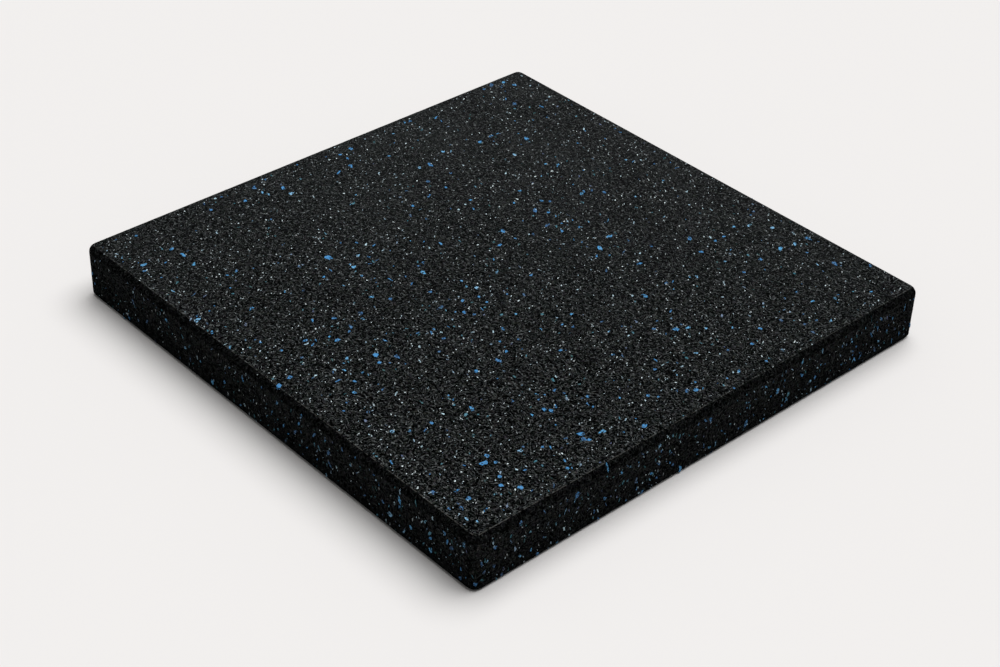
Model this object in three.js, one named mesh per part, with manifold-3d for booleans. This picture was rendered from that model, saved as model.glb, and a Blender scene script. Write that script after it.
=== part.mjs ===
// A square rubber gym floor tile: one moulded slab of bonded rubber crumb.
// Units are millimetres, +Z is up, and the origin is the middle of the underside.

import * as THREE from "three";
import { mergeVertices } from "three/addons/utils/BufferGeometryUtils.js";
import Module from "manifold-3d";

// Driving dimensions
const tileLength = 500; // along X
const tileWidth = 500; // along Y
const tileThickness = 50;
const cornerRadius = 8; // the four upright corners, seen from above
const edgeRadius = 7; // the rounding between the top face and the sides
const edgeTrim = 0.6; // height that the flat top takes off that rounding, which leaves a crisp line
const footRadius = 4; // the rounding between the underside and the sides

// How finely the roundings are drawn
const cornerSteps = 4;
const edgeSteps = 8;

// Look of the rubber
const rubberColour = "#141516";
const rubberRoughness = 0.85;

const wasm = await Module();
wasm.setup();

// A closed three.js geometry as a solid that can be cut.
function solidOf(geometry) {
  const bare = geometry.clone();
  bare.deleteAttribute("normal");
  bare.deleteAttribute("uv");
  const merged = mergeVertices(bare);
  const mesh = new wasm.Mesh({
    numProp: 3,
    vertProperties: merged.attributes.position.array,
    triVerts: new Uint32Array(merged.index.array),
  });
  return new wasm.Manifold(mesh);
}

// A solid as a three.js geometry with flat faces.
function geometryOf(solid) {
  const mesh = solid.getMesh();
  const geometry = new THREE.BufferGeometry();
  geometry.setAttribute("position", new THREE.BufferAttribute(mesh.vertProperties, 3));
  geometry.setIndex(new THREE.BufferAttribute(mesh.triVerts, 1));
  const faceted = geometry.toNonIndexed();
  faceted.computeVertexNormals();
  return faceted;
}

// The tile seen from above: a rectangle with rounded corners.
function outline() {
  const x = tileLength / 2 - cornerRadius;
  const y = tileWidth / 2 - cornerRadius;
  const quarter = Math.PI / 2;
  const shape = new THREE.Shape();
  shape.absarc(x, y, cornerRadius, 0, quarter);
  shape.absarc(-x, y, cornerRadius, quarter, 2 * quarter);
  shape.absarc(-x, -y, cornerRadius, 2 * quarter, 3 * quarter);
  shape.absarc(x, -y, cornerRadius, 3 * quarter, 4 * quarter);
  return shape;
}

// A block on that outline from one height to another, with both its rims rounded.
// A rounding can't be larger than the upright corner that it runs round.
function roundedBlock(rimRadius, bottom, top) {
  const radius = Math.min(rimRadius, 0.95 * cornerRadius);
  const block = new THREE.ExtrudeGeometry(outline(), {
    depth: top - bottom - 2 * radius,
    curveSegments: cornerSteps,
    bevelThickness: radius,
    bevelSize: radius,
    bevelOffset: -radius,
    bevelSegments: edgeSteps,
  });
  return block.translate(0, 0, bottom + radius);
}

// The slab is what three blocks have in common. The first rounds the top edge and
// reaches past the underside, the second rounds the foot and reaches past the top,
// and the third is the flat top that trims the rounding.
function tileSlab() {
  const topBlock = roundedBlock(edgeRadius, -tileThickness, tileThickness + edgeTrim);
  const footBlock = roundedBlock(footRadius, 0, 2 * tileThickness);
  const flatTop = new THREE.BoxGeometry(2 * tileLength, 2 * tileWidth, 2 * tileThickness);
  return solidOf(topBlock).intersect(solidOf(footBlock)).intersect(solidOf(flatTop));
}

function rubberTile() {
  const rubber = new THREE.MeshStandardMaterial({
    color: rubberColour,
    roughness: rubberRoughness,
    metalness: 0,
  });
  const tile = new THREE.Mesh(geometryOf(tileSlab()), rubber);
  tile.name = "rubber_tile";
  return tile;
}

const gymTile = new THREE.Group();
gymTile.add(rubberTile());

export default gymTile;
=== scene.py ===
# %% [markdown]
# # A rubber gym floor tile
# The real tile is one moulded slab. Black rubber crumb, coloured granules and a binder are
# pressed in a flat mould, so the slab is plain and all its interest is in its skin: a tight
# grain of crumbs, pale glints between them and scattered blue flecks. This lesson keeps the
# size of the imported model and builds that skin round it. All lengths are in metres.

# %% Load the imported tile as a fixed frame
import math
import random

import bmesh
import bpy
from mathutils import Matrix, Vector


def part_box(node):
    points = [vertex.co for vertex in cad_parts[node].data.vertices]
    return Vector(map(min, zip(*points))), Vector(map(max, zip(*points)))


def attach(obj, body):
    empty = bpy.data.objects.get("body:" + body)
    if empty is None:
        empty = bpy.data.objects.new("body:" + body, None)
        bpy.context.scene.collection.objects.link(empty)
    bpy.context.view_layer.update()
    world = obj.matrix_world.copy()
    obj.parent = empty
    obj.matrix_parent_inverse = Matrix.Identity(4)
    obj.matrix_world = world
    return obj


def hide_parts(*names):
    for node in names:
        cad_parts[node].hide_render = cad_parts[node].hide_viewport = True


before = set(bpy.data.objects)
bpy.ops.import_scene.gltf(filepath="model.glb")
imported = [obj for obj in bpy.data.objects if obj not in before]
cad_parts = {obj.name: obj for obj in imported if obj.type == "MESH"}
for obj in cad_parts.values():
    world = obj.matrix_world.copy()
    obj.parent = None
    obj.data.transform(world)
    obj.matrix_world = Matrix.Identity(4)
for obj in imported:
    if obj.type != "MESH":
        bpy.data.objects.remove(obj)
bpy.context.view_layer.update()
lowest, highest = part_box("rubber_tile")
MM = 0.001
print("tile", [round(side / MM, 2) for side in highest - lowest], "mm")

# %% [markdown]
# ## Camera
# The photograph looks down on the tile's near corner. Its straight edges were used to find
# the place of the lens: a long lens, a little under two metres away. The camera is held a
# touch askew, and the picture's centre lies slightly off the middle of the underside.

# %% The photograph's viewpoint
PHOTO_WIDTH = 1000
PHOTO_FOCAL = 2027.4  # the lens's focal length, in pixels of the photograph
SENSOR_WIDTH = 36.0  # mm
VIEW_AZIMUTH = math.radians(46.78)
VIEW_ELEVATION = math.radians(35.42)
VIEW_ROLL = math.radians(1.98)
VIEW_DISTANCE = 1741.06 * MM
AIM_RIGHT = 0.96 * MM
AIM_DOWN = 16.64 * MM

backwards = Vector((
    math.sin(VIEW_AZIMUTH) * math.cos(VIEW_ELEVATION),
    -math.cos(VIEW_AZIMUTH) * math.cos(VIEW_ELEVATION),
    math.sin(VIEW_ELEVATION),
))
level_right = Vector((math.cos(VIEW_AZIMUTH), math.sin(VIEW_AZIMUTH), 0.0))
level_up = backwards.cross(level_right)
right = math.cos(VIEW_ROLL) * level_right + math.sin(VIEW_ROLL) * level_up
up = math.cos(VIEW_ROLL) * level_up - math.sin(VIEW_ROLL) * level_right

lens = bpy.data.cameras.new("camera")
lens.sensor_width = SENSOR_WIDTH
lens.lens = PHOTO_FOCAL * SENSOR_WIDTH / PHOTO_WIDTH
lens.clip_start = 0.05
lens.clip_end = 100.0
camera = bpy.data.objects.new("camera", lens)
bpy.context.scene.collection.objects.link(camera)
camera.rotation_euler = Matrix((right, up, backwards)).transposed().to_euler()
camera.location = backwards * VIEW_DISTANCE + right * AIM_RIGHT - up * AIM_DOWN
bpy.context.scene.camera = camera
print("camera at", [round(value, 3) for value in camera.location], "lens", round(lens.lens, 1), "mm")

# %% [markdown]
# ## Light
# The floor's shadow says what lit the tile. Along the left side it is a hand's breadth wide and
# fades evenly, and along the right side it is only a soft dark line. One broad soft source,
# high up and tipped towards the far right, does that. A sun lamp with a wide angle is such a
# source, and it lights the whole floor evenly. A dim sky fills in the rest.

# %% One broad soft source and a dim sky
KEY_TILT = 0.35  # how far the source leans along +Y for each unit up
KEY_ANGLE = math.radians(58)  # how wide the source looks from the tile, which makes the shadow soft
KEY_STRENGTH = 3.03
SKY_STRENGTH = 0.2
SKY_COLOUR = (1.0, 0.995, 0.985)
BACKDROP_COLOUR = (0.88, 0.865, 0.855)
SOFTBOX_PLACE = (0.0, 0.6, 1.5)  # a sun lights alike from anywhere, so this only tidies the scene

sun = bpy.data.lights.new("softbox", "SUN")
sun.angle = KEY_ANGLE
sun.energy = KEY_STRENGTH
softbox = bpy.data.objects.new("softbox", sun)
softbox.rotation_euler = (-math.atan(KEY_TILT), 0.0, 0.0)
softbox.location = SOFTBOX_PLACE
bpy.context.scene.collection.objects.link(softbox)

# %% [markdown]
# ## Maths with nodes
# A finish is a sum of patterns. A wire is the output of one node, and writing `1 - mask` or
# `tone * 0.5` with wires adds the Math node for it. Every other node comes from one method,
# so the same words serve for materials, for the sky and for geometry nodes.

# %% A wire, and a tree that makes nodes
class Wire:
    """One output of a node, with Python's signs for maths."""

    def __init__(self, tree, socket):
        self.tree = tree
        self.socket = socket

    def maths(self, operation, *others, swapped=False):
        values = [self, *others]
        if swapped:
            values.reverse()
        return self.tree.node("ShaderNodeMath", {"operation": operation}, dict(enumerate(values)))

    def __add__(self, other):
        return self.maths("ADD", other)

    def __sub__(self, other):
        return self.maths("SUBTRACT", other)

    def __mul__(self, other):
        return self.maths("MULTIPLY", other)

    def __truediv__(self, other):
        return self.maths("DIVIDE", other)

    def __rsub__(self, other):
        return self.maths("SUBTRACT", other, swapped=True)

    def __rtruediv__(self, other):
        return self.maths("DIVIDE", other, swapped=True)

    __radd__ = __add__
    __rmul__ = __mul__

    def power(self, exponent):
        return self.maths("POWER", exponent)

    def size(self):
        """The same without its sign."""
        return self.maths("ABSOLUTE")

    def levels(self, count):
        """0 on count evenly spaced levels between 0 and 1, and 0.5 halfway between two."""
        return (self * count).maths("PINGPONG", 0.5)

    def other(self, name):
        """Another output of the same node."""
        return Wire(self.tree, self.socket.node.outputs[name])

    def over(self, other):
        """The greater of the two."""
        return self.maths("MAXIMUM", other)

    def step(self, start, end, low=0.0, high=1.0):
        """low before start, high after end, and a smooth way between them."""
        settings = {"interpolation_type": "SMOOTHSTEP"}
        values = {"Value": self, "From Min": start, "From Max": end, "To Min": low, "To Max": high}
        return self.tree.node("ShaderNodeMapRange", settings, values)


def set_stops(elements, stops):
    """Gives a colour ramp these stops: a position and a colour each."""
    while len(elements) < len(stops):
        elements.new(1.0)
    for element, (position, colour) in zip(elements, stops):
        element.position = position
        element.color = (*colour, 1)


class Tree:
    """A node tree, and the one method that adds a node to it."""

    def __init__(self, tree):
        self.tree = tree

    def node(self, kind, settings=None, values=None, output=0):
        """Adds a node of this kind. Settings come first, because some decide which sockets it has."""
        made = self.tree.nodes.new(kind)
        for name, value in (settings or {}).items():
            if name == "stops":
                set_stops(made.color_ramp.elements, value)
            else:
                setattr(made, name, value)
        for name, value in (values or {}).items():
            if isinstance(value, Wire):
                self.tree.links.new(value.socket, made.inputs[name])
            else:
                made.inputs[name].default_value = value
        return Wire(self, made.outputs[output]) if len(made.outputs) else made

    def mix(self, factor, first, second):
        """A colour between two colours."""
        return self.node("ShaderNodeMix", {"data_type": "RGBA"}, {0: factor, 6: first, 7: second}, 2)

    def vector(self, operation, first, second, output=0):
        settings = {"operation": operation}
        return self.node("ShaderNodeVectorMath", settings, {0: first, 1: second}, output)

    def scaled(self, vector, scale):
        settings = {"operation": "SCALE"}
        return self.node("ShaderNodeVectorMath", settings, {0: vector, "Scale": scale})

    def noise(self, vector, size, detail=2.0, roughness=0.5, output=0):
        """Cloudy noise whose lumps are about as long as size."""
        values = {"Vector": vector, "Scale": 1 / size, "Detail": detail, "Roughness": roughness}
        return self.node("ShaderNodeTexNoise", {"noise_dimensions": "3D"}, values, output)

    def crumbs(self, vector, size, output):
        """Cells as wide as size, each a crumb: output is its Distance or its own Color."""
        values = {"Vector": vector, "Scale": 1 / size}
        return self.node("ShaderNodeTexVoronoi", {"feature": "F1"}, values, output)

    def parts(self, vector):
        """The three numbers of a vector or colour."""
        first = self.node("ShaderNodeSeparateXYZ", None, {0: vector})
        return [Wire(self, socket) for socket in first.socket.node.outputs]

    def joined(self, first, second, third):
        """A vector or colour of three numbers."""
        return self.node("ShaderNodeCombineXYZ", None, {0: first, 1: second, 2: third})

    def grey(self, value):
        return self.joined(value, value, value)


# %% [markdown]
# ## Sky and floor
# The backdrop is plain studio paper. The sky is dim where it lights the tile, and pale where
# the camera sees it beyond the floor's far edge, so other views have no dark horizon.

# %% The sky
world = bpy.data.worlds.new("studio")
bpy.context.scene.world = world
world.use_nodes = True
world.node_tree.nodes.clear()
sky = Tree(world.node_tree)
seen = sky.node("ShaderNodeLightPath")
strength = seen * (1 - SKY_STRENGTH) + SKY_STRENGTH
sky_colour = sky.mix(seen, (*SKY_COLOUR, 1), (*BACKDROP_COLOUR, 1))
glow = sky.node("ShaderNodeBackground", None, {"Color": sky_colour, "Strength": strength})
sky.node("ShaderNodeOutputWorld", None, {"Surface": glow})

# %% A helper for materials, and the floor
def new_finish(name):
    """A material with an empty tree, the tree, and places on the piece in millimetres."""
    material = bpy.data.materials.new(name)
    material.use_nodes = True
    material.node_tree.nodes.clear()
    tree = Tree(material.node_tree)
    place = tree.node("ShaderNodeTexCoord", None, None, "Object")
    return material, tree, tree.scaled(place, 1 / MM)


def finish_with(tree, values):
    """Ends a tree with the main shader."""
    shader = tree.node("ShaderNodeBsdfPrincipled", None, values)
    tree.node("ShaderNodeOutputMaterial", None, {"Surface": shader})


def put_in_order(bm):
    """Sorts the faces by their corners, because extruding leaves them in another order each run."""
    bm.verts.index_update()
    count = len(bm.verts)

    def rank(face):
        corners = sorted(vert.index for vert in face.verts)
        return (corners[0] * count + corners[1]) * count + corners[-1]

    bm.faces.sort(key=rank)


def mesh_object(name, bm):
    """Turns a bmesh into an object of the scene, at the origin."""
    put_in_order(bm)
    mesh = bpy.data.meshes.new(name)
    bm.to_mesh(mesh)
    bm.free()
    made = bpy.data.objects.new(name, mesh)
    bpy.context.scene.collection.objects.link(made)
    return made


FLOOR_HALF = 12.0
FLOOR_DROP = 0.1 * MM
PAPER_DARK = (0.795, 0.779, 0.770, 1)
PAPER_LIGHT = (0.805, 0.789, 0.780, 1)
PAPER_CLOUD = 400.0  # mm

bm = bmesh.new()
bmesh.ops.create_grid(bm, x_segments=8, y_segments=8, size=FLOOR_HALF)
bmesh.ops.translate(bm, verts=bm.verts, vec=(0, 0, -FLOOR_DROP))
floor = mesh_object("studio_floor", bm)
paper, tree, place = new_finish("studio_paper")
paper_colour = tree.mix(tree.noise(place, PAPER_CLOUD), PAPER_DARK, PAPER_LIGHT)
finish_with(tree, {"Base Color": paper_colour, "Roughness": 0.9, "Specular IOR Level": 0.1})
floor.data.materials.append(paper)
print("floor", FLOOR_HALF * 2, "m across")

# %% [markdown]
# ## The slab
# Seen from the side, the slab's edge is a quarter round whose top is sliced off, which leaves
# the crisp line round the flat top. The foot is rounded too, but less. The mesh starts as a
# fine grid for the flat top, about two millimetres a cell, so that it can carry the crumbs'
# relief. Its border is then extruded outwards and down, ring by ring, along that profile, and
# a coarser grid closes the underside.

# %% Sizes of the slab
HALF = highest.x
THICKNESS = highest.z
CORNER_RADIUS = 8 * MM
EDGE_RADIUS = 7 * MM
EDGE_TRIM = 0.6 * MM
FOOT_RADIUS = 4 * MM
TOP_CELLS = 228
EDGE_ROWS = 6
WALL_ROWS = 18
FOOT_ROWS = 4
UNDER_CELLS = 112
CORE = HALF - CORNER_RADIUS

break_angle = math.asin((EDGE_RADIUS - EDGE_TRIM) / EDGE_RADIUS)
FLAT_INSET = EDGE_RADIUS * (1 - math.cos(break_angle))
print("flat top ends", round(FLAT_INSET / MM, 2), "mm in from the side")

# %% The profile as rows of (inset, height), from the flat top to the foot
profile = []
for row in range(1, EDGE_ROWS + 1):
    angle = break_angle * (1 - row / EDGE_ROWS)
    inset = EDGE_RADIUS * (1 - math.cos(angle))
    profile.append((inset, THICKNESS + EDGE_TRIM - EDGE_RADIUS * (1 - math.sin(angle))))
wall_top = profile[-1][1]
for row in range(1, WALL_ROWS + 1):
    profile.append((0.0, wall_top + (FOOT_RADIUS - wall_top) * row / WALL_ROWS))
for row in range(1, FOOT_ROWS + 1):
    angle = math.pi / 2 * row / FOOT_ROWS
    profile.append((FOOT_RADIUS * (1 - math.cos(angle)), FOOT_RADIUS * (1 - math.sin(angle))))
print(len(profile), "rows")


# %% Grids and rings on a square with round corners
def beyond_core(co):
    """How far a point lies outside the square that the corner roundings are centred on."""
    return Vector((co.x - max(-CORE, min(CORE, co.x)), co.y - max(-CORE, min(CORE, co.y))))


def add_flat(bm, cells, inset, height):
    """A flat grid whose four corners are drawn in on to their roundings."""
    made = bmesh.ops.create_grid(bm, x_segments=cells, y_segments=cells, size=HALF - inset)["verts"]
    for vert in made:
        out = beyond_core(vert.co)
        if out.x and out.y:
            out *= max(abs(out.x), abs(out.y)) / out.length - 1
            vert.co.x += out.x
            vert.co.y += out.y
        vert.co.z = height
    return made


def add_ring(bm, border, inset, height):
    """Extrudes a border, and moves its copy to this inset and height."""
    made = bmesh.ops.extrude_edge_only(bm, edges=border)["geom"]
    for vert in (item for item in made if isinstance(item, bmesh.types.BMVert)):
        out = beyond_core(vert.co)
        out *= (CORNER_RADIUS - inset) / out.length - 1
        vert.co.x += out.x
        vert.co.y += out.y
        vert.co.z = height
    return [item for item in made if isinstance(item, bmesh.types.BMEdge) and item.is_boundary]


# %% [markdown]
# ## A map of the slab
# When the tile goes into a library, its finish is baked into pictures, and for that each face
# needs a place of its own on a map. An automatic unwrap would cut this skin into many islands.
# The tile is a box with soft edges, so its top and sides are simply laid out flat at one scale.

# %% Unroll the slab
MAP_GAP = 0.005
MAP_TOP = 0.735  # share of the map's width that the tile's width takes, for the top and the sides
MAP_UNDER = 0.24  # and for the underside
STRIP_STEP = 0.08  # from one side's strip to the next


def lay_out(bm):
    """Gives every face its place on a map.

    The top lies in one corner, four strips for the sides lie round it, and the underside is small.
    """
    layer = bm.loops.layers.uv.new("OFBake")
    beside = 2 * MAP_GAP + MAP_TOP
    bm.normal_update()
    for face in bm.faces:
        out = face.normal
        for loop in face.loops:
            across, along, height = loop.vert.co / (2 * HALF)
            if out.z > 0.5:
                spot = (MAP_GAP + (across + 0.5) * MAP_TOP, MAP_GAP + (along + 0.5) * MAP_TOP)
            elif out.z < -0.5:
                spot = (beside + (across + 0.5) * MAP_UNDER, beside + (along + 0.5) * MAP_UNDER)
            elif abs(out.y) > abs(out.x) and out.y < 0:
                spot = (MAP_GAP + (across + 0.5) * MAP_TOP, beside + height * MAP_TOP)
            elif abs(out.y) > abs(out.x):
                spot = (beside + height * MAP_TOP, MAP_GAP + (across + 0.5) * MAP_TOP)
            else:
                strip = STRIP_STEP if out.x > 0 else 2 * STRIP_STEP
                spot = (beside + strip + height * MAP_TOP, MAP_GAP + (along + 0.5) * MAP_TOP)
            loop[layer].uv = spot


# %% Build the slab
bm = bmesh.new()
add_flat(bm, TOP_CELLS, FLAT_INSET, THICKNESS)
border = [edge for edge in bm.edges if edge.is_boundary]
for edge in border:
    edge.smooth = False
for inset, height in profile:
    border = add_ring(bm, border, inset, height)
UNDER_INSET = CORNER_RADIUS - 1 * MM
under = add_flat(bm, UNDER_CELLS, UNDER_INSET, 0.0)
bmesh.ops.reverse_faces(bm, faces=list({face for vert in under for face in vert.link_faces}))
under_border = {edge for vert in under for edge in vert.link_edges if edge.is_boundary}
bmesh.ops.bridge_loops(bm, edges=border + sorted(under_border, key=lambda edge: edge.index))
bmesh.ops.recalc_face_normals(bm, faces=bm.faces)
for face in bm.faces:
    face.smooth = True
lay_out(bm)
triangles = sum(len(face.verts) - 2 for face in bm.faces)
loose = sum(1 for edge in bm.edges if not edge.is_manifold)
slab = mesh_object("tile_slab", bm)
print("slab", triangles, "triangles,", loose, "open edges")

# %% [markdown]
# ## The relief of the crumbs
# The mould presses the crumbs flat, but not perfectly: each one stands a few hundredths of a
# millimetre proud or shy, and the skin as a whole is a little uneven. Cells of a Voronoi pattern
# stand for the crumbs, and a soft noise for the lumps. Geometry nodes push the slab's own points
# by both, so this relief is real shape. What is finer than the slab's mesh is left to the finish.
# The relief dies away towards the crisp line and the underside, which stay true.

# %% Where a place lies on the tile, as nodes
LINE = (CORNER_RADIUS - FLAT_INSET) / MM  # how far outside the core the crisp line runs, in mm


def outside_core(tree, place):
    """How far outside the core square a place in millimetres lies, seen from above."""
    across, along, _ = tree.parts(place)
    across = (across.size() - CORE / MM).over(0.0)
    along = (along.size() - CORE / MM).over(0.0)
    return (across * across + along * along).power(0.5)


# %% A helper for geometry nodes
def geometry_tree(name):
    """A geometry-nodes tree with one geometry in and one out."""
    group = bpy.data.node_groups.new(name, "GeometryNodeTree")
    group.interface.new_socket("Geometry", in_out="INPUT", socket_type="NodeSocketGeometry")
    group.interface.new_socket("Geometry", in_out="OUTPUT", socket_type="NodeSocketGeometry")
    tree = Tree(group)
    return tree, tree.node("NodeGroupInput")


def shaped(piece, tree, result):
    """Ends a geometry tree, runs it on a piece, and makes the outcome the piece's own mesh."""
    tree.node("NodeGroupOutput", None, {0: result})
    modifier = piece.modifiers.new(tree.tree.name, "NODES")
    modifier.node_group = tree.tree
    bpy.context.view_layer.update()
    drawn = piece.evaluated_get(bpy.context.evaluated_depsgraph_get())
    mesh = bpy.data.meshes.new_from_object(drawn)
    piece.modifiers.clear()
    before = piece.data
    piece.data = mesh
    bpy.data.meshes.remove(before)
    mesh.name = piece.name
    return len(mesh.loops) - 2 * len(mesh.polygons)


# %% Push the slab's skin in and out
CRUMB_WIDTH = 3.3  # mm
CRUMB_RISE = 0.16  # mm
LUMP_WIDTH = 14.0  # mm
LUMP_RISE = 0.16  # mm
CALM_WIDTH = 3.0  # mm beside the crisp line
CALM_HEIGHTS = (0.5, 3.0)  # mm above the floor
CRUMB_MIDDLE = 0.45  # the height of a crumb that is neither proud nor shy

tree, source = geometry_tree("crumb_relief")
place = tree.scaled(tree.node("GeometryNodeInputPosition"), 1 / MM)
normal = tree.node("GeometryNodeInputNormal")
calm = (outside_core(tree, place) - LINE).size().step(0.0, CALM_WIDTH, 0.25, 1.0)
_, _, above = tree.parts(place)
calm = calm * above.step(*CALM_HEIGHTS, 0.35, 1.0)
crumb = tree.crumbs(place, CRUMB_WIDTH, "Distance")
lump = tree.noise(place, LUMP_WIDTH)
rise = ((CRUMB_MIDDLE - crumb) * CRUMB_RISE + (lump - 0.5) * LUMP_RISE) * calm
values = {"Geometry": source, "Offset": tree.scaled(normal, rise * MM)}
count = shaped(slab, tree, tree.node("GeometryNodeSetPosition", None, values))
print("slab with its relief:", count, "triangles")
print("its box:", [round(side / MM, 2) for side in slab.dimensions], "mm")

# %% [markdown]
# ## Coloured granules
# The flecks are coloured granules that were mixed in before pressing. Each one is a flat chip
# of a few facets with a ragged outline, set almost flush. They could be painted by the finish
# alone, but then they would have no outline of their own at a grazing view. So points are
# scattered over the slab's skin by a seeded dice, and a small chip is stood on each.
#
# They are not spread evenly. On the top they gather in drifts and towards the front corner, whose
# last few centimetres are plainer again. The sides and the underside have shares of their own,
# and the rounded edge has hardly any. The two coloured kinds keep some millimetres apart, so
# that chance makes no clumps of them.

# %% How thick the flecks lie, as nodes
SKIN_TILT = (0.3, 0.7)  # the upward part of the skin's normal, from a side to the top
EDGE_HEIGHTS = (43.4, 44.6)  # mm, between which the rounded edge begins
EDGE_MARGIN = (0.9, 0.5)  # how far inside the crisp line it is felt, beside a fleck's width
EDGE_SHARE = 0.02  # how many of its flecks the rounded edge keeps
FOOT_HEIGHTS = (1.5, 5.0)  # mm, between which the underside begins
UNDER_SHARE = 0.35  # how many of its flecks the underside keeps
FRONT_RISE = (-300.0, 460.0)  # across less along, in mm: -500 at the back corner, 500 at the front
FRONT_TIP = (452.0, 470.0)  # where the front corner of the top begins
CORNER_SHARE = 0.3  # how many of its flecks that corner keeps
LEFT_TO_RIGHT = (-250.0, 250.0)  # mm
SIDE_FAR = 0.9  # how many fewer the left end has, for a kind that keeps to the front
BEHIND_FRONT = (-249.0, -240.0)  # mm, between which the front left side ends
SIDE_BACK = 0.7  # the share that the two sides at the back have at least
DRIFT_WIDTH = 55.0  # mm
CLUMP_WIDTH = 9.0  # mm


def thickness_of_flecks(tree, place, width, side_share, gather, front):
    """How thick flecks lie at a place, beside a plain stretch of the top."""
    _, _, upright = tree.parts(tree.node("GeometryNodeInputNormal"))
    flat = upright.size().step(*SKIN_TILT)
    across, along, above = tree.parts(place)
    on_top = (across - along).step(*FRONT_RISE).power(3.0) * front + 1.0
    on_top = on_top * (across - along).step(*FRONT_TIP, 1.0, CORNER_SHARE)
    on_side = 1 - across.step(*LEFT_TO_RIGHT, SIDE_FAR, 0.0) * front
    on_side = on_side.over(along.step(*BEHIND_FRONT) * SIDE_BACK)
    start, end = (LINE - margin * width for margin in EDGE_MARGIN)
    on_edge = above.step(*EDGE_HEIGHTS) * outside_core(tree, place).step(start, end)
    below = above.step(*FOOT_HEIGHTS, UNDER_SHARE, 1.0)
    density = flat * on_top + (1 - flat) * on_side * side_share
    density = density * (1 - on_edge * (1 - EDGE_SHARE)) * below
    drift = tree.noise(place, DRIFT_WIDTH, 3.0).step(0.38, 0.68)
    drift = drift * tree.noise(place, CLUMP_WIDTH, 1.0).step(0.42, 0.6, 0.2, 1.9)
    gathered = flat * gather
    return density * (drift * gathered * 2 + (1 - gathered))


# %% Throw points on the skin
CROWD = 8.0  # where flecks keep apart, how many points are thrown for each
ROOM = 5.0  # and about how many of those find a free place


def thrown_points(tree, skin, density, per_square_metre, seed, apart):
    """Points by a seeded dice. If apart is over 0, no two lie nearer than that, in mm."""
    values = {"Mesh": skin, "Seed": seed}
    if apart:
        method = "POISSON"
        values["Distance Min"] = apart * MM
        values["Density Max"] = per_square_metre * CROWD
        values["Density Factor"] = density / ROOM
    else:
        method = "RANDOM"
        values["Density"] = density * per_square_metre
    return tree.node("GeometryNodeDistributePointsOnFaces", {"distribute_method": method}, values)


# %% [markdown]
# ## One chip, its turn and its size
# A chip is a short six-sided cone whose foot is sunk in the skin. It is stood up on the skin and
# leans a little. On the top, long chips point more or less at the front corner. On the sides
# they are smaller and more drawn out, and stand nearly upright.

# %% Helpers that keep values on a geometry, and throw dice
def kept(tree, geometry, name, value, data_type, domain):
    """The geometry, with a value kept on it under a name."""
    settings = {"data_type": data_type, "domain": domain}
    values = {"Geometry": geometry, "Name": name, "Value": value}
    return tree.node("GeometryNodeStoreNamedAttribute", settings, values)


def recalled(tree, name):
    """The vector that is kept under a name."""
    settings = {"data_type": "FLOAT_VECTOR"}
    return tree.node("GeometryNodeInputNamedAttribute", settings, {"Name": name})


def forgotten(tree, geometry, name):
    """The geometry without the value of that name."""
    return tree.node("GeometryNodeRemoveAttribute", None, {"Geometry": geometry, "Name": name})


def chance_number(tree, seed):
    """A number between 0 and 1, another one for each chip."""
    values = {2: 0.0, 3: 1.0, "Seed": seed}
    return tree.node("FunctionNodeRandomValue", {"data_type": "FLOAT"}, values, 1)


# %% A chip
CHIP_SIDES = 6
CHIP_TOP = 0.72  # width of a chip's top beside its foot
CHIP_DEPTH = 0.5  # beside its width


def one_chip(tree, width, lift):
    """A short cone that stands lift mm proud, with a map of its own."""
    depth = CHIP_DEPTH * width
    cone = {
        "Vertices": CHIP_SIDES,
        "Radius Top": CHIP_TOP * width / 2 * MM,
        "Radius Bottom": width / 2 * MM,
        "Depth": depth * MM,
    }
    chip = tree.node("GeometryNodeMeshCone", None, cone)
    chip = kept(tree, chip, "OFBake", chip.other("UV Map"), "FLOAT2", "CORNER")
    values = {"Geometry": chip, "Translation": (0, 0, (lift - depth) * MM)}
    return tree.node("GeometryNodeTransform", None, values)


# %% Its turn
COURSE = (1, -1, 5)  # towards the front corner on the top, and nearly upright on a side
TOP_TURN = 0.95  # how far long chips stray from that course, in radians
SIDE_TURN = 0.55
CHIP_LEAN = 0.07  # radians


def chip_turn(tree, facing, seed):
    """Stands a chip up on the skin, turns it to its course, and lets both stray."""
    turn = tree.node("FunctionNodeAlignRotationToVector", {"axis": "Z"}, {"Vector": facing})
    settings = {"axis": "X", "pivot_axis": "Z"}
    values = {"Rotation": turn, "Vector": COURSE}
    turn = tree.node("FunctionNodeAlignRotationToVector", settings, values)
    values = {0: (-1, -1, -1), 1: (1, 1, 1), "Seed": seed}
    stray = tree.node("FunctionNodeRandomValue", {"data_type": "FLOAT_VECTOR"}, values)
    _, _, facing_up = tree.parts(facing)
    swing = facing_up.size().step(*SKIN_TILT, SIDE_TURN, TOP_TURN)
    stray = tree.vector("MULTIPLY", stray, tree.joined(CHIP_LEAN, CHIP_LEAN, swing))
    settings = {"rotation_space": "LOCAL"}
    return tree.node("FunctionNodeRotateRotation", settings, {0: turn, 1: stray})


# %% And its size
SMALLEST = 0.65  # beside the width of its kind
SMALL_POWER = 2.5  # small chips are commoner than large ones
SHORT_POWER = 2.0  # and short ones than long ones
SIDE_SIZE = 0.76  # how wide the sides' chips are beside the top's, at the left end and the right
SIDE_CORNER = 0.96  # and at the front corner
CORNER_REACH = (60.0, 480.0)  # across less along, in mm, from those ends to that corner
SIDE_STRETCH = 1.4  # how much more the sides' chips are drawn out


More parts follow.
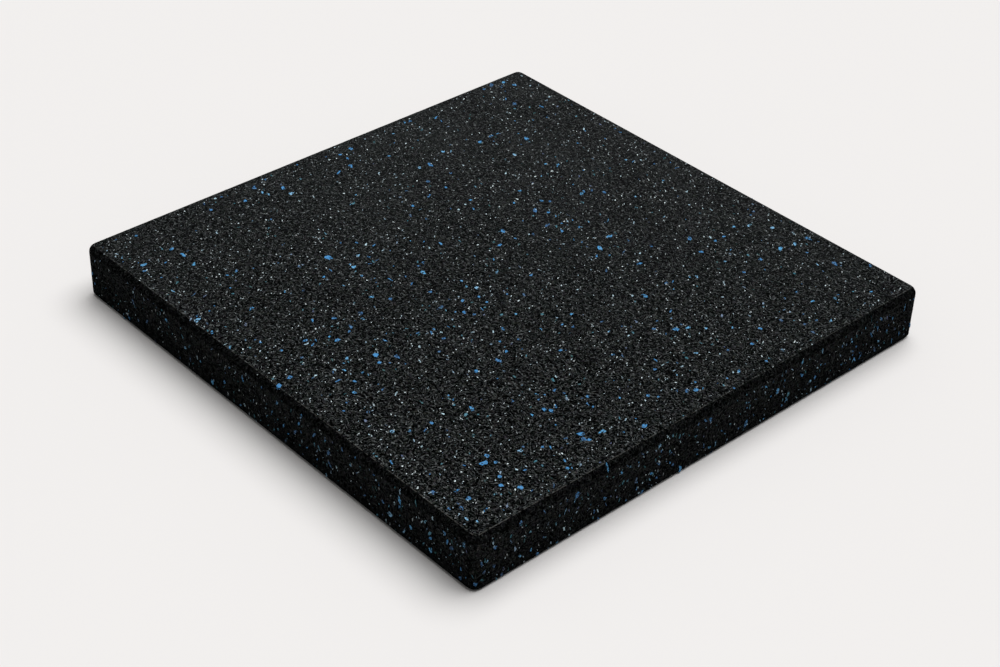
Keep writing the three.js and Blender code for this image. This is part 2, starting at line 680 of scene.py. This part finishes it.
def chip_scale(tree, place, facing, spread, stretch, seed):
    """The length, width and height of a chip beside those of its kind."""
    across, along, _ = tree.parts(place)
    _, _, facing_up = tree.parts(facing)
    size = chance_number(tree, seed).power(SMALL_POWER) * spread + SMALLEST
    at_side = (across - along).step(*CORNER_REACH, SIDE_SIZE, SIDE_CORNER)
    size = size * facing_up.size().step(*SKIN_TILT, at_side, 1.0)
    stretch = facing_up.size().step(*SKIN_TILT, SIDE_STRETCH, 1.0) * stretch
    long = chance_number(tree, seed + 1).power(SHORT_POWER) * stretch
    return tree.joined(size + long, size, 1.0)


# %% [markdown]
# ## A map for every chip, and a ragged outline
# A baked finish needs a map on which no two faces share a place. The chips' maps are laid out
# like tiles on a floor: each chip is counted, and its count gives it a cell in rows and columns.
# Then noise moves each corner of each chip, mostly along the skin, so no two are alike. The mould
# is flat, so whatever this pushes past its walls or through the floor is pressed back.

# %% Lay the chips' maps out in cells
CELL_FILL = 0.84  # how much of its cell a chip's own map fills


def cell_places(tree, chips):
    """The cell of each chip, as its column and row, and how many cells a row has."""
    settings = {"component": "INSTANCES"}
    values = {"Geometry": chips}
    number = tree.node("GeometryNodeAttributeDomainSize", settings, values, "Instance Count")
    cells = number.power(0.5).maths("CEIL")
    index = tree.node("GeometryNodeInputIndex")
    return tree.joined(index.maths("MODULO", cells), (index / cells).maths("FLOOR"), 0.0), cells


def mapped(tree, chips, cells):
    """Moves each chip's own map into its cell."""
    spot = tree.vector("ADD", tree.scaled(recalled(tree, "OFBake"), CELL_FILL), recalled(tree, "cell"))
    spot = tree.scaled(tree.vector("ADD", spot, tree.grey((1 - CELL_FILL) / 2)), 1 / cells)
    chips = kept(tree, chips, "OFBake", spot, "FLOAT2", "CORNER")
    return forgotten(tree, chips, "cell")


# %% Make their outlines ragged
RAGGED_SIZE = 0.9  # these three are beside a chip's width
RAGGED_REACH = 1.7
RAGGED_RISE = 0.15
PROUDEST = HALF + 0.4 * MM  # how far out the mould lets a chip reach
LOWEST = -FLOOR_DROP * 0.9  # just above the floor
CEILING = 1.0  # far above the tile, because its top needs no pressing


def roughened(tree, chips, place, width):
    """Moves the chips' corners by noise, mostly along the skin, and presses them in the mould."""
    facing = recalled(tree, "facing")
    wander = tree.noise(place, RAGGED_SIZE * width, 1.0, output="Color")
    wander = tree.vector("SUBTRACT", wander, (0.5, 0.5, 0.5))
    rise = tree.vector("DOT_PRODUCT", wander, facing, "Value")
    wander = tree.vector("SUBTRACT", wander, tree.scaled(facing, rise * (1 - RAGGED_RISE)))
    wander = tree.scaled(wander, RAGGED_REACH * width * MM)
    chips = tree.node("GeometryNodeSetPosition", None, {"Geometry": chips, "Offset": wander})
    chips = forgotten(tree, chips, "facing")
    here = tree.node("GeometryNodeInputPosition")
    pressed = tree.vector("MAXIMUM", here, (-PROUDEST, -PROUDEST, LOWEST))
    pressed = tree.vector("MINIMUM", pressed, (PROUDEST, PROUDEST, CEILING))
    return tree.node("GeometryNodeSetPosition", None, {"Geometry": chips, "Position": pressed})


# %% Put it together
def scatter(
    name, per_square_metre, seed, width, lift, spread, stretch, side_share, gather=0, front=0, apart=0
):
    """Chips about width mm across, all over the slab's skin, as one mesh.

    The larger spread is, the more their widths differ, and the larger stretch is, the longer some
    are. side_share is how thick they lie on the sides beside the top. gather and front, from 0 to
    1, say how much they gather in drifts and towards the front. apart keeps them apart, in mm.
    Each chip also keeps a number of its own, its tone, from which its colour comes.
    """
    piece = bpy.data.objects.new(name, slab.data.copy())
    bpy.context.scene.collection.objects.link(piece)
    tree, skin = geometry_tree(name)
    place = tree.scaled(tree.node("GeometryNodeInputPosition"), 1 / MM)
    density = thickness_of_flecks(tree, place, width, side_share, gather, front)
    points = thrown_points(tree, skin, density, per_square_metre, seed, apart)
    facing = points.other("Normal")
    values = {
        "Points": points,
        "Instance": one_chip(tree, width, lift),
        "Rotation": chip_turn(tree, facing, seed + 1),
        "Scale": chip_scale(tree, place, facing, spread, stretch, seed + 2),
    }
    chips = tree.node("GeometryNodeInstanceOnPoints", None, values)
    chips = kept(tree, chips, "tone", chance_number(tree, seed + 4), "FLOAT", "INSTANCE")
    chips = kept(tree, chips, "facing", facing, "FLOAT_VECTOR", "INSTANCE")
    cell, cells = cell_places(tree, chips)
    chips = kept(tree, chips, "cell", cell, "FLOAT_VECTOR", "INSTANCE")
    chips = tree.node("GeometryNodeRealizeInstances", None, {"Geometry": chips})
    chips = mapped(tree, chips, cells)
    count = shaped(piece, tree, roughened(tree, chips, place, width))
    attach(piece, "root")
    print(name, count, "triangles,", len(piece.data.polygons) // (CHIP_SIDES + 2), "chips")
    return piece


# %% Blue flecks, and smaller ones of mixed blues
blue = scatter(
    "blue_flecks", 1550, seed=11, width=2.8, lift=0.16, spread=1.2, stretch=2.2,
    side_share=3.0, gather=0.75, front=0.7, apart=5.0,
)
mixed = scatter(
    "mixed_flecks", 1950, seed=53, width=1.9, lift=0.14, spread=0.9, stretch=2.2,
    side_share=4.4, gather=0.4, front=0.5, apart=3.5,
)

# %% Pale flecks, partly painted glints, and black crumbs
# Pale chips whose near whites are painted glints, highlights on crumb facets
pale = scatter(
    "pale_glint_flecks", 16000, seed=23, width=1.24, lift=0.12, spread=0.5, stretch=2.1, side_share=0.45
)
black = scatter(
    "black_crumbs", 17000, seed=37, width=2.2, lift=0.16, spread=0.8, stretch=0.8, side_share=1.0
)

# %% [markdown]
# ## The largest flecks
# Some three dozen flecks stand out in the photograph, most of them near the front corner. Chance
# would not put them there, so they are placed one by one where the photograph has them. Each is a
# disc drawn out to an oval, its border moved in and out by a seeded dice. It is extruded into
# the skin, so it stands nearly flush, and its rim is bevelled.

# %% Where the largest flecks lie
LARGE_FLECKS = {  # across, along, length, width in mm, and turn in degrees
    "front middle": (32, -162, 6.0, 4.6, 20),
    "corner, first": (188, -186, 8.0, 3.6, 65),
    "corner, second": (183, -179, 4.6, 3.4, 40),
    "left front": (-102, -104, 8.2, 4.2, 30),
    "middle": (-39, 38, 4.6, 4.2, 0),
    "middle, small": (-24, 21, 5.2, 2.6, 80),
    "right front": (209, -107, 7.2, 3.2, 55),
    "corner, third": (226, -185, 5.4, 3.8, 25),
    "right, nearer": (233, -63, 5.4, 3.4, 70),
    "corner, fourth": (215, -194, 5.0, 3.2, 50),
    "right, inner": (174, -105, 4.4, 3.4, 15),
    "right, middle": (227, 0, 4.6, 3.3, 35),
    "far left": (-166, 125, 4.6, 3.2, 60),
    "front middle, beside": (42, -166, 3.6, 2.8, 30),
    "front, inner": (99, -115, 3.6, 2.8, 35),
    "right, inner, beside": (169, -108, 4.0, 2.8, 20),
    "right front, beside": (218, -107, 3.8, 2.6, 60),
    "corner, fifth": (207, -188, 3.6, 2.8, 40),
    "right, farther": (208, -34, 3.8, 2.6, 45),
    "centre": (121, -45, 4.8, 2.0, 65),
    "back, right": (94, 147, 4.4, 2.4, 50),
    "back, middle": (73, 93, 5.0, 2.2, 60),
    "back, left": (-54, 98, 4.2, 2.2, 40),
    "left end": (-220, -104, 3.6, 3.0, 20),
    "corner, sixth": (193, -179, 3.8, 2.2, 60),
    "right, front": (232, -143, 3.8, 2.0, 55),
    "centre, left": (33, -45, 3.4, 2.2, 50),
    "centre, left, beside": (23, -45, 3.0, 2.0, 20),
    "middle, beside": (-23, 38, 3.4, 2.0, 25),
    "left, middle": (-120, 4, 3.2, 2.4, 40),
    "left edge": (-221, 11, 3.2, 2.6, 15),
    "left edge, beside": (-230, 10, 3.8, 1.9, 50),
    "left edge, outer": (-232, 24, 4.4, 3.2, 30),
    "back, inner": (-36, 89, 3.8, 2.0, 65),
    "back, farther": (90, 169, 3.2, 2.4, 30),
    "back, farthest": (90, 180, 3.6, 2.0, 55),
    "back corner": (-228, 223, 3.4, 2.2, 35),
}
print(len(LARGE_FLECKS), "large flecks")

# %% Shape them
OVAL_SIDES = 14
OVAL_RAGGED = (0.62, 1.12)
DRAWN_OUT = 1.45  # how much longer each one is towards the front corner
FLECK_RISE = 0.18 * MM
FLECK_DEPTH = 1.2 * MM
FLECK_BEVEL = 0.25 * MM
LARGE_TONE = 0.62  # all of them have one tone, a clear blue

drawn_out = Matrix.Scale(DRAWN_OUT, 4, Vector((1, -1, 0)).normalized())
dice = random.Random(7)
bm = bmesh.new()
for across, along, length, width, turn in LARGE_FLECKS.values():
    oval = bmesh.ops.create_circle(bm, cap_ends=True, segments=OVAL_SIDES, radius=0.5 * MM)["verts"]
    for vert in oval:
        vert.co *= dice.uniform(*OVAL_RAGGED)
    bmesh.ops.scale(bm, verts=oval, vec=(length, width, 1.0))
    spin = Matrix.Rotation(math.radians(turn), 4, "Z")
    bmesh.ops.transform(bm, verts=oval, matrix=drawn_out @ spin)
    bmesh.ops.translate(bm, verts=oval, vec=(across * MM, along * MM, THICKNESS + FLECK_RISE))
flat = list(bm.faces)
sunk = bmesh.ops.extrude_face_region(bm, geom=flat)["geom"]
sunk = [item for item in sunk if isinstance(item, bmesh.types.BMVert)]
bmesh.ops.translate(bm, verts=sunk, vec=(0, 0, -FLECK_DEPTH))
rims = [edge for edge in bm.edges if min(vert.co.z for vert in edge.verts) > THICKNESS]
bmesh.ops.bevel(
    bm, geom=rims, affect="EDGES", offset=FLECK_BEVEL, offset_type="OFFSET",
    segments=2, profile=0.5, material=-1,
)
bmesh.ops.triangulate(bm, faces=bm.faces)
bmesh.ops.recalc_face_normals(bm, faces=bm.faces)
shade = bm.verts.layers.float.new("tone")
for vert in bm.verts:
    vert[shade] = LARGE_TONE
large = mesh_object("large_flecks", bm)
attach(large, "root")
print("large flecks", len(large.data.polygons), "triangles")

# %% [markdown]
# ## The finish of the rubber
# Cut rubber is nearly black, and it has hardly any gloss. What shows is its grain: crumbs of
# slightly different greys, lighter specks in them, and dark seams where they meet, deepened by
# painted shade in their hollows. Short pale strokes on the crumbs' rims are painted highlights.
# Each is one pattern on the same places in millimetres, and together they make the colour. A
# painted sheen lies on the top and grows towards the back. The rounded edge was pressed harder, so
# it is smoother and plainer, and it is painted darker as painted shade; the sides are painted
# darker towards the foot as painted shade, and a pale rim along the crisp line is a painted
# highlight, strongest at the front corner.

# %% Colours and widths of the grain
RUBBER = (0.0118, 0.0130, 0.0131)
# Painted highlight: the pale strokes on the crumbs' rims
STROKE_HIGHLIGHT = (0.091, 0.099, 0.100)
# Painted sheen, which grows towards the back of the top
BACK_SHEEN = (0.050, 0.054, 0.055)
# Painted highlight: the pale rim along the crisp line
RIM_HIGHLIGHT = (0.060, 0.059, 0.054)
CRUMB_TINT_WIDTH = 1.9  # all widths in mm
STROKE_WIDTH = 6.8
STROKE_LEVELS = 6.0  # how many scuffs or gaps run across one lump of the stroke noise
BREAK_WIDTH = 2.8
SPECK_WIDTH = 1.05
print("rubber", RUBBER, "stroke_highlights", STROKE_HIGHLIGHT)

# %% Painted light and shade of the top, the edge, the sides and the foot
TOP_HEIGHTS = (46.0, 48.0)  # mm, between which the flat top begins
WALL_HEIGHTS = (2.0, 46.0)  # mm, between which a side grows lighter, out of painted shade at the foot
EDGE_SHADE_HEIGHTS = (43.2, 45.2)  # mm, between which the rounded edge begins
# Painted light and shade by part: the sides rise from painted shade at the foot to a touch over the
# top's tone, and the rounded edge is painted darker as painted shade
SIDE_TONE = 1.06
EDGE_SHADE = 0.40
FOOT_SHADE = 0.54


def flat_top(tree, place):
    """1 on the flat top as far as the crisp line, and 0 elsewhere."""
    _, _, above = tree.parts(place)
    return outside_core(tree, place).step(LINE - 0.1, LINE + 0.1, 1.0, 0.0) * above.step(*TOP_HEIGHTS)


def painted_shade_of_part(tree, place, on_top):
    """How light each part is painted beside the top: painted light and shade."""
    _, _, above = tree.parts(place)
    side_shade = above.step(*WALL_HEIGHTS, FOOT_SHADE, SIDE_TONE)
    below = above.step(*EDGE_SHADE_HEIGHTS) * (EDGE_SHADE - side_shade) + side_shade
    return on_top * (1 - below) + below


# %% Painted highlight strokes and gaps
def highlight_strokes_and_gaps(tree, place):
    """Short pale strokes that are painted highlights, the dark seams between crumbs, and darker
    pockets, both with painted shade.

    Two smooth noises are cut into levels, whose borders are long winding lines, and two finer
    ones break those lines into strokes.
    """
    first, second, _ = tree.parts(tree.noise(place, STROKE_WIDTH, 0.0, output="Color"))
    broken, pocket, fine = tree.parts(tree.noise(place, BREAK_WIDTH, 0.0, output="Color"))
    first = first.levels(STROKE_LEVELS)
    second = second.levels(STROKE_LEVELS)
    highlight_stroke = first.step(0.02, 0.12, 1.0, 0.0) * broken.step(0.53, 0.61)
    highlight_stroke = highlight_stroke.over(second.step(0.02, 0.11, 1.0, 0.0) * fine.step(0.56, 0.63))
    # The dark seams and pockets: dark binder, deepened by painted shade in the hollows between crumbs
    gap = first.step(0.33, 0.42, 1.0, 0.0).over(fine.step(0.44, 0.54))
    gap = gap * second.step(0.28, 0.40, 1.0, 0.0).over(broken.step(0.54, 0.44))
    return highlight_stroke, gap, pocket.step(0.30, 0.42), broken


# %% The painted rim highlight and the painted sheen
RIM_WIDTHS = (0.9, 0.5)  # mm, how far inside the crisp line the rim begins
RIM_SHARES = (0.35, 0.75)  # how strong it is at the ends left and right, and at the front corner
RIM_REACH = (100.0, 470.0)  # across less along, in mm, from those ends to that corner
SHEEN_SHARE = 0.15  # how strong the painted sheen is at the back corner; there is none at the front
SHEEN_REACH = (-300.0, 520.0)  # along less across, in mm, from the front to the back
SHEEN_WIDTH = 60.0  # mm


def rim_highlight(tree, place):
    """A painted highlight: 1 in a narrow band inside the crisp line, fading away from the front
    corner.
    """
    across, along, above = tree.parts(place)
    outside = outside_core(tree, place)
    start, end = (LINE - width for width in RIM_WIDTHS)
    rim = outside.step(start, end) * outside.step(LINE, LINE + 0.2, 1.0, 0.0)
    return rim * above.step(*TOP_HEIGHTS) * (across - along).step(*RIM_REACH, *RIM_SHARES)


def back_sheen(tree, place):
    """Painted sheen: 0 towards the front, about 1 towards the back, and uneven."""
    across, along, _ = tree.parts(place)
    uneven = tree.noise(place, SHEEN_WIDTH).step(0.3, 0.7, 0.7, 1.3)
    return (along - across).step(*SHEEN_REACH) * uneven


# %% The grain
GAP_DEPTH = 0.95
POCKET_DEPTH = 0.75
SPECK_GAIN = 2.8
SPECK_MEAN = 0.93  # what that comes to on average
TINT_SHARE = 0.12  # how much of its own tint a crumb shows


def grain(tree, place):
    """The rubber's colour, the height of its finest relief, and a chance number for each crumb."""
    on_top = flat_top(tree, place)
    # Painted light and shade of each part
    plain = painted_shade_of_part(tree, place, on_top)
    own = tree.crumbs(place, CRUMB_TINT_WIDTH, "Color")
    chance, other_chance, _ = tree.parts(own)
    highlight_stroke, gap, deep, broken = highlight_strokes_and_gaps(tree, place)
    speck, _, _ = tree.parts(tree.crumbs(place, SPECK_WIDTH, "Color"))
    speck = (speck * speck * SPECK_GAIN - SPECK_MEAN) * (on_top * 0.5 + 0.5) + 1.0
    tone = (chance * 0.5 + 0.75) * speck * plain
    # Seams and pockets darken: dark binder, with painted shade in the hollows
    tone = tone * (gap * GAP_DEPTH + (1 - GAP_DEPTH)) * (deep * POCKET_DEPTH + (1 - POCKET_DEPTH))
    colour = tree.vector("MULTIPLY", tree.grey(tone), RUBBER)
    tinted = tree.vector("MULTIPLY", colour, tree.scaled(own, 2.0))
    colour = tree.mix(TINT_SHARE, colour, tinted)
    # Painted highlight along the crisp line, strongest at the front corner
    colour = tree.mix(rim_highlight(tree, place) * broken.step(0.4, 0.55), colour, (*RIM_HIGHLIGHT, 1))
    # Painted highlights: pale strokes on the crumbs' rims, strongest on the top
    colour = tree.mix(highlight_stroke * (on_top * 0.8 + 0.2), colour, (*STROKE_HIGHLIGHT, 1))
    # Painted sheen towards the back of the top
    colour = tree.mix(back_sheen(tree, place) * on_top * SHEEN_SHARE, colour, (*BACK_SHEEN, 1))
    height = (chance * 0.4 + gap * 0.6 + highlight_stroke * 0.5) * plain
    return colour, height, other_chance


# %% Dress the slab
def own_tone(tree):
    """The tone that a chip was given when it was scattered."""
    return tree.node("ShaderNodeAttribute", {"attribute_name": "tone"}, None, "Fac")


def bump(tree, strength, distance, height):
    """The normal of a finish, roughened by a height."""
    values = {"Strength": strength, "Distance": distance * MM, "Height": height}
    return tree.node("ShaderNodeBump", None, values)


def wear(piece, material):
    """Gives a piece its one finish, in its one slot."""
    piece.data.materials.clear()
    piece.data.materials.append(material)


def rubber_finish(name, piece, by_tone=False):
    """Bare rubber. If by_tone is set, each chip is darker or lighter by its own tone."""
    material, tree, place = new_finish(name)
    colour, height, chance = grain(tree, place)
    if by_tone:
        colour = tree.vector("MULTIPLY", colour, tree.grey(own_tone(tree) * 0.5 + 0.75))
    relief = bump(tree, 0.5, 0.25, height)
    values = {"Base Color": colour, "Roughness": chance * 0.25 + 0.6}
    values.update({"Specular IOR Level": 0.0, "Normal": relief})
    finish_with(tree, values)
    wear(piece, material)


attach(slab, "root")
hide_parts("rubber_tile")
rubber_finish("crumb_rubber", slab)
print("the slab wears", slab.data.materials[0].name)

# %% [markdown]
# ## The finish of the granules
# A granule is coloured all through, but pressing smears black binder over parts of it. Each chip
# takes its colour from a ramp by its own tone, so one finish serves a whole kind. Noise then
# leaves some of it black and pales a few streaks. Past the crisp line the chips are painted
# darker as painted shade. The black crumbs wear the slab's own grain, so they only break up its
# outline.

# %% Finishes of the granules
WORN = (0.55, 0.68, 0.72)
WORN_SHARE = 0.2
MOTTLE_WIDTH = 1.6  # all widths in mm
BARE_WIDTH = 1.4
WORN_WIDTH = 1.1
SIDE_FLECK_SHADE = 0.70  # how bright the sides' flecks are beside the top's, as painted shade


def granule_finish(name, piece, stops, rough, gloss, smeared=0.40):
    """Colours chips by their tones. The larger smeared is, the more of them is black."""
    material, tree, place = new_finish(name)
    ramp = tree.node("ShaderNodeValToRGB", {"stops": stops}, {0: own_tone(tree)})
    mottle = tree.noise(place, MOTTLE_WIDTH, 2.0)
    own, _, _ = tree.parts(tree.crumbs(place, BARE_WIDTH, "Color"))
    bare = mottle.step(smeared, smeared + 0.08) * own.step(0.10, 0.25, 0.25, 1.0)
    worn = (tree.noise(place, WORN_WIDTH, 1.0) - 0.5).size().step(0.02, 0.06, 1.0, 0.0)
    colour = tree.mix(worn * WORN_SHARE, ramp, (*WORN, 1))
    colour = tree.mix(bare, (*RUBBER, 1), colour)
    # Painted shade: the chips past the crisp line are darker
    fleck_shade = outside_core(tree, place).step(LINE, LINE + 1.0, 1.0, SIDE_FLECK_SHADE)
    colour = tree.vector("MULTIPLY", colour, tree.grey(fleck_shade))
    relief = bump(tree, 0.4, 0.15, mottle)
    values = {"Base Color": colour, "Roughness": mottle * 0.2 + rough}
    values.update({"Specular IOR Level": gloss, "Normal": relief})
    finish_with(tree, values)
    wear(piece, material)
    print(name, "on", piece.name)


# %% Blues
BLUES = [
    (0.0, (0.020, 0.066, 0.16)),
    (0.35, (0.030, 0.15, 0.36)),
    (0.7, (0.044, 0.25, 0.55)),
    (0.86, (0.090, 0.36, 0.65)),
    (1.0, (0.24, 0.47, 0.68)),
]
granule_finish("blue_granule", blue, BLUES, 0.55, 0.05)
granule_finish("large_granule", large, BLUES, 0.55, 0.05, smeared=0.33)

# %% A rusty crumb here and there, teals, dull blues and pale ones
MIXED = [
    (0.0, (0.036, 0.014, 0.012)),
    (0.08, (0.022, 0.080, 0.078)),
    (0.3, (0.036, 0.15, 0.20)),
    (0.5, (0.10, 0.26, 0.36)),
    (0.62, (0.080, 0.090, 0.19)),
    (0.76, (0.25, 0.37, 0.48)),
    (1.0, (0.50, 0.70, 0.78)),
]
granule_finish("mixed_granule", mixed, MIXED, 0.55, 0.0)

# %% Greys and near whites: pale chips and painted glints
# The near whites stand for highlights on crumb facets: painted glints
PALE_GLINTS = [
    (0.0, (0.20, 0.215, 0.22)),
    (0.45, (0.42, 0.45, 0.46)),
    (0.62, (0.40, 0.54, 0.62)),
    (0.8, (0.66, 0.78, 0.82)),
    (1.0, (0.86, 0.98, 1.00)),
]
granule_finish("pale_glint_granule", pale, PALE_GLINTS, 0.5, 0.0)

# %% Black crumbs
rubber_finish("black_crumb", black, by_tone=True)
print("the crumbs wear", black.data.materials[0].name)

# %% [markdown]
# ## Colour
# The picture keeps plain colours, as the photograph does.

# %% Plain colours
bpy.context.scene.view_settings.view_transform = "Standard"
